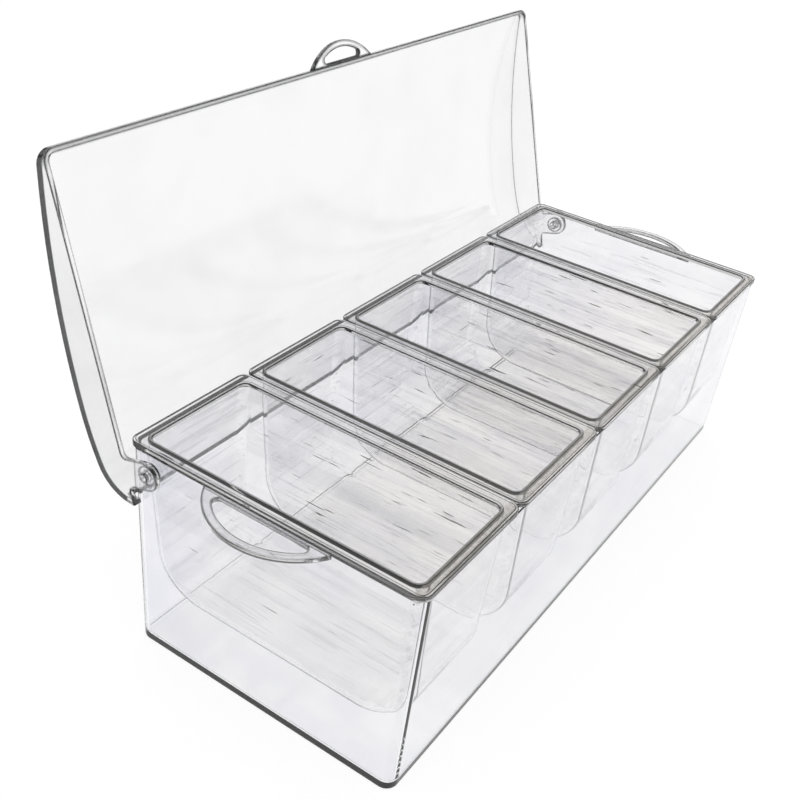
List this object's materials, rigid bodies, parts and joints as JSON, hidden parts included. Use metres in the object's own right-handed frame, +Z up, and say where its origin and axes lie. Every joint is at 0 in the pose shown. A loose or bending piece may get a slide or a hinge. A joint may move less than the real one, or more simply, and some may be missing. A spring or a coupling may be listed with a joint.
{
  "type": "bar garnish tray",
  "caption": "Clear plastic garnish tray: lift-out food containers hang by their flanges in a tub that holds ice, under a domed lid hinged at the back.",
  "frame": {"origin": "centre of the tub's flat underside", "axes": "+X along the row of containers, -Y to the front where the lid opens, +Y to the hinge, +Z up"},
  "size_m": [0.4188, 0.1967, 0.2449],
  "materials": {
    "clear_plastic": "clear, polished"
  },
  "bodies": {
    "tub": {"ice_tub": "clear_plastic", "end_handle_left": "clear_plastic", "end_handle_right": "clear_plastic", "hinge_pin_left": "clear_plastic", "hinge_pin_right": "clear_plastic"},
    "lid": {"lid": "clear_plastic", "lid_pull": "clear_plastic"},
    "container_1": {"container_1": "clear_plastic"},
    "container_2": {"container_2": "clear_plastic"},
    "container_3": {"container_3": "clear_plastic"},
    "container_4": {"container_4": "clear_plastic"},
    "container_5": {"container_5": "clear_plastic"}
  },
  "joints": [
    {"name": "lid_hinge", "type": "hinge", "parent": "tub", "child": "lid", "pos_m": [0, 0.063, 0.1035], "axis": [1, 0, 0], "range_deg": [0, 106.2]},
    {"name": "container_1_lift", "type": "slide", "parent": "tub", "child": "container_1", "axis": [0, 0, -1], "range_m": [-0.1, 0]},
    {"name": "container_2_lift", "type": "slide", "parent": "tub", "child": "container_2", "axis": [0, 0, -1], "range_m": [-0.1, 0]},
    {"name": "container_3_lift", "type": "slide", "parent": "tub", "child": "container_3", "axis": [0, 0, -1], "range_m": [-0.1, 0]},
    {"name": "container_4_lift", "type": "slide", "parent": "tub", "child": "container_4", "axis": [0, 0, -1], "range_m": [-0.1, 0]},
    {"name": "container_5_lift", "type": "slide", "parent": "tub", "child": "container_5", "axis": [0, 0, -1], "range_m": [-0.1, 0]}
  ]
}
